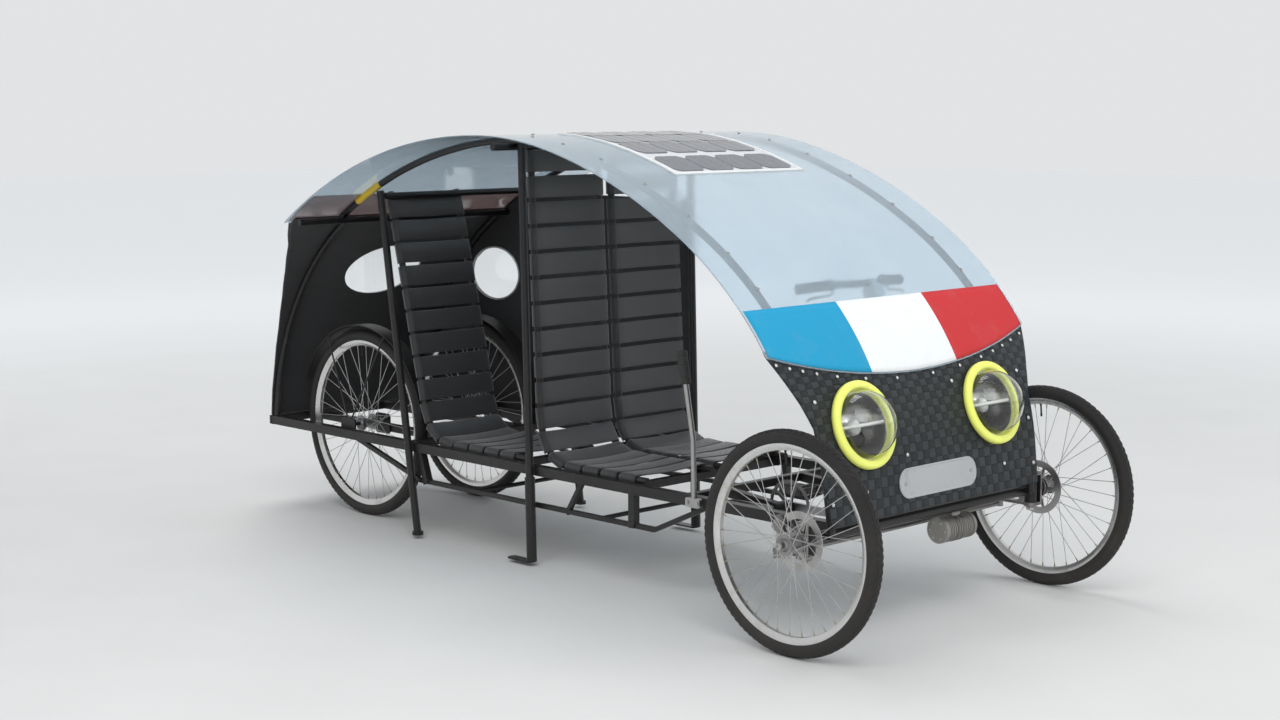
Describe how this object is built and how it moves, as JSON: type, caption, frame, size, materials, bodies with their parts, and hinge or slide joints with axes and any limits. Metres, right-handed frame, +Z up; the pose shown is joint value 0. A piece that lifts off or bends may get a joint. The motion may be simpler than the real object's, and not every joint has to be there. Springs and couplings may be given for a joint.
{
  "type": "velomobile",
  "caption": "Open four-wheeled pedal car with a clear bent canopy, woven nose with ringed lamps, slatted seats and rear panels.",
  "frame": {"origin": "on the ground under the middle of the vehicle's box", "axes": "+X forward, +Y to the vehicle's left, +Z up"},
  "size_m": [2.98, 1.234, 1.3396],
  "materials": {
    "frame_paint": "satin black paint on square and round tube",
    "bare_alloy": "brushed tube, worn",
    "bright_steel": "bright machined steel",
    "chrome": "polished",
    "clear_sheet": "clear bent plastic sheet",
    "banner": "printed film in plain fields, nothing written",
    "white_frame": "white edge strip",
    "cells": "dark cells under a clear face",
    "weave": "coarse black woven strip",
    "lamp_yellow": "fluorescent yellow",
    "clear_dome": "clear moulded dome",
    "plate": "plain grey plate",
    "black_panel": "black panel",
    "smoke_pane": "clear pane",
    "slats": "black slat",
    "grip": "soft grip",
    "tyre": "worn black rubber",
    "motor_grey": "grey casing"
  },
  "bodies": {
    "frame": {"side_truss_left": "frame_paint", "side_truss_right": "frame_paint", "cross_members": "frame_paint", "rear_axle_mounts": "frame_paint", "front_beam": "frame_paint", "uprights": "frame_paint", "roof_ribs": "frame_paint", "roof_cross_tubes": "frame_paint", "end_posts": "frame_paint", "canopy_sheet": "clear_sheet", "sheet_bands": "banner", "solar_frame": "white_frame", "solar_cells": "cells", "nose_panel": "weave", "lamp_bowls": "chrome", "lamp_rings": "lamp_yellow", "lamp_domes": "clear_dome", "nose_plate": "plate", "tail_panel": "black_panel", "quarter_panel_left": "black_panel", "rear_panes": "smoke_pane", "rear_seat_frame": "frame_paint", "front_seat_frames": "frame_paint", "rear_seat_slats": "slats", "front_seat_slats": "slats", "rear_mudguards": "black_panel", "steering_head": "frame_paint", "bottom_brackets": "frame_paint", "motor": "motor_grey", "side_lever": "bright_steel"},
    "steering": {"steering_column": "bright_steel", "handlebar": "bare_alloy", "handlebar_grips": "grip"},
    "knuckle_left": {"knuckle_left": "bright_steel"},
    "knuckle_right": {"knuckle_right": "bright_steel"},
    "tie_rod": {"tie_rod": "bright_steel"},
    "wheel_front_left": {"tyre_front_left": "tyre", "wheel_front_left": "bright_steel", "brake_disc_left": "bright_steel"},
    "wheel_front_right": {"tyre_front_right": "tyre", "wheel_front_right": "bright_steel", "brake_disc_right": "bright_steel"},
    "wheel_rear_left": {"tyre_rear_left": "tyre", "wheel_rear_left": "bright_steel"},
    "wheel_rear_right": {"tyre_rear_right": "tyre", "wheel_rear_right": "bright_steel"},
    "crank_left": {"crankset_left": "bright_steel"},
    "crank_right": {"crankset_right": "bright_steel"}
  },
  "joints": [
    {"name": "steer", "type": "hinge", "parent": "frame", "child": "steering", "pos_m": [1.015, 0.2, 0.39], "axis": [-0.3584, 0, 0.9336], "range_deg": [-40, 40]},
    {"name": "knuckle_left_turn", "type": "hinge", "parent": "frame", "child": "knuckle_left", "pos_m": [1.19, 0.5, 0.3], "axis": [0, 0, 1], "range_deg": [-30, 30]},
    {"name": "knuckle_right_turn", "type": "hinge", "parent": "frame", "child": "knuckle_right", "pos_m": [1.19, -0.5, 0.3], "axis": [0, 0, 1], "range_deg": [-30, 30]},
    {"name": "tie_rod_turn", "type": "hinge", "parent": "knuckle_left", "child": "tie_rod", "pos_m": [1.08, 0.5, 0.2405], "axis": [0, 0, 1], "range_deg": [-30, 30]},
    {"name": "front_left_roll", "type": "hinge", "parent": "knuckle_left", "child": "wheel_front_left", "pos_m": [1.19, 0.573, 0.3], "axis": [0, 1, 0], "continuous": true},
    {"name": "front_right_roll", "type": "hinge", "parent": "knuckle_right", "child": "wheel_front_right", "pos_m": [1.19, -0.573, 0.3], "axis": [0, 1, 0], "continuous": true},
    {"name": "rear_left_roll", "type": "hinge", "parent": "frame", "child": "wheel_rear_left", "pos_m": [-1.06, 0.243, 0.325], "axis": [0, 1, 0], "continuous": true},
    {"name": "rear_right_roll", "type": "hinge", "parent": "frame", "child": "wheel_rear_right", "pos_m": [-1.06, -0.243, 0.325], "axis": [0, 1, 0], "continuous": true},
    {"name": "crank_left_turn", "type": "hinge", "parent": "frame", "child": "crank_left", "pos_m": [0.8, 0.17, 0.28], "axis": [0, 1, 0], "continuous": true},
    {"name": "crank_right_turn", "type": "hinge", "parent": "frame", "child": "crank_right", "pos_m": [0.8, -0.17, 0.28], "axis": [0, 1, 0], "continuous": true}
  ],
  "couplings": [
    {"joint": "knuckle_left_turn", "follows": "steer", "ratio": 0.75},
    {"joint": "knuckle_right_turn", "follows": "steer", "ratio": 0.75},
    {"joint": "tie_rod_turn", "follows": "steer", "ratio": -0.75}
  ]
}
